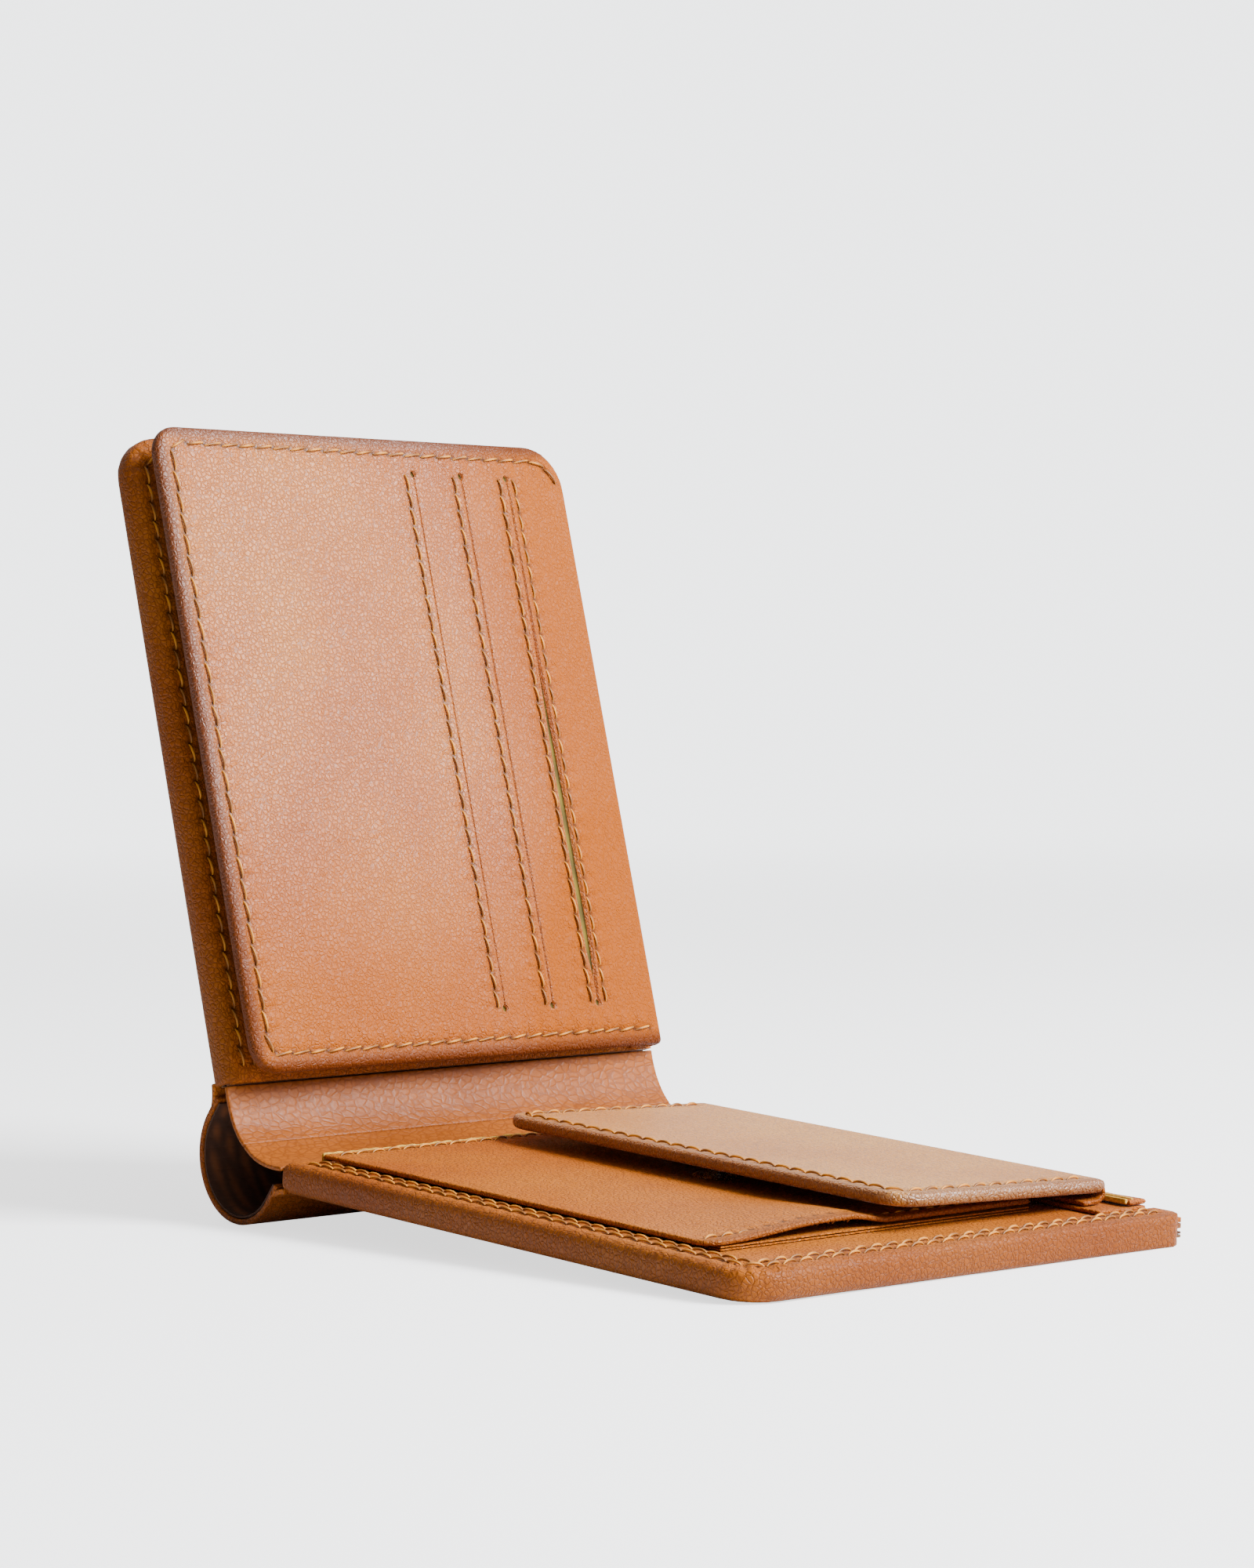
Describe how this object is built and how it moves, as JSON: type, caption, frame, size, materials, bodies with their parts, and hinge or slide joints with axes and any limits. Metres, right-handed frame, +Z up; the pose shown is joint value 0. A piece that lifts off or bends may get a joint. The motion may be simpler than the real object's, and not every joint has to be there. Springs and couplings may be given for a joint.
{
  "type": "bifold wallet",
  "caption": "Open bifold leather wallet with a slotted card wing and a snap-flap coin pocket, standing on its lower half.",
  "frame": {"origin": "centre of the bounding box, on the surface that the wallet stands on", "axes": "+Z up, X along the lying half from the spine towards its outer edge, Y from the closed near edge to the open far edge, parallel to the folds"},
  "size_m": [0.1472, 0.086, 0.1223],
  "materials": {
    "tan_leather": "smooth tan cowhide with a fine pore grain and a soft sheen",
    "flesh_side_leather": "matt brown flesh side of the leather",
    "bill_lining": "matt woven lining",
    "card_pocket_lining": "matt olive pocket lining",
    "stiffener_board": "plain stiffener board",
    "waxed_thread": "golden tan twisted thread",
    "snap_metal": "nickel-plated snap fastener"
  },
  "bodies": {
    "coin_half": {"coin_cover": "tan_leather", "coin_board": "stiffener_board", "coin_bill_lining": "bill_lining", "coin_divider": "flesh_side_leather", "coin_panel": "tan_leather", "coin_edge_thread_1": "waxed_thread", "coin_edge_thread_2": "waxed_thread", "coin_pocket_front": "tan_leather", "coin_pocket_gusset": "tan_leather", "coin_pocket_mouth_hem": "flesh_side_leather", "coin_pocket_side_thread": "waxed_thread", "coin_pocket_rim_thread": "waxed_thread", "coin_far_hem": "tan_leather", "coin_far_roll": "tan_leather", "snap_stud": "snap_metal", "snap_eyelet": "snap_metal", "coin_flap_hinge": "tan_leather"},
    "coin_flap": {"coin_flap_front": "tan_leather", "coin_flap_back": "tan_leather", "coin_flap_board": "stiffener_board", "snap_socket": "snap_metal", "coin_flap_thread": "waxed_thread"},
    "spine": {"spine_cover": "tan_leather", "spine_lining": "bill_lining", "spine_web": "tan_leather", "spine_web_hem": "tan_leather"},
    "card_half": {"card_cover": "tan_leather", "card_board": "stiffener_board", "card_bill_lining": "bill_lining", "card_divider": "flesh_side_leather", "card_panel": "tan_leather", "card_edge_thread_1": "waxed_thread", "card_edge_thread_2": "waxed_thread", "wing_hinge": "tan_leather"},
    "card_wing": {"wing_front": "tan_leather", "wing_back": "tan_leather", "wing_card_pocket_1": "card_pocket_lining", "wing_card_pocket_2": "card_pocket_lining", "wing_card_pocket_3": "card_pocket_lining", "wing_edge_thread": "waxed_thread", "wing_slit_thread_1": "waxed_thread", "wing_slit_thread_2": "waxed_thread", "wing_slit_thread_3": "waxed_thread", "wing_slit_thread_4": "waxed_thread"}
  },
  "joints": [
    {"name": "fold_lower", "type": "hinge", "parent": "coin_half", "child": "spine", "pos_m": [-0.0304, 0, 0.00627], "axis": [0, -1, 0], "range_deg": [-54, 36], "deforming": ["spine_web", "spine_web_hem"]},
    {"name": "fold_upper", "type": "hinge", "parent": "spine", "child": "card_half", "pos_m": [-0.04667, 0, 0.01954], "axis": [0, -1, 0], "range_deg": [-54, 36], "deforming": ["spine_web", "spine_web_hem"]},
    {"name": "wing_turn", "type": "hinge", "parent": "card_half", "child": "card_wing", "pos_m": [-0.04084, 0.04097, 0.02108], "axis": [-0.2552, 0, 0.9669], "range_deg": [-2.6, 177.4], "deforming": ["wing_hinge"]},
    {"name": "flap_turn", "type": "hinge", "parent": "coin_half", "child": "coin_flap", "pos_m": [-0.03001, 0.0365, 0.01326], "axis": [-0.9984, 0, 0.056], "range_deg": [-2, 178], "deforming": ["coin_flap_hinge"]}
  ],
  "couplings": [
    {"joint": "fold_upper", "follows": "fold_lower", "ratio": 1}
  ]
}
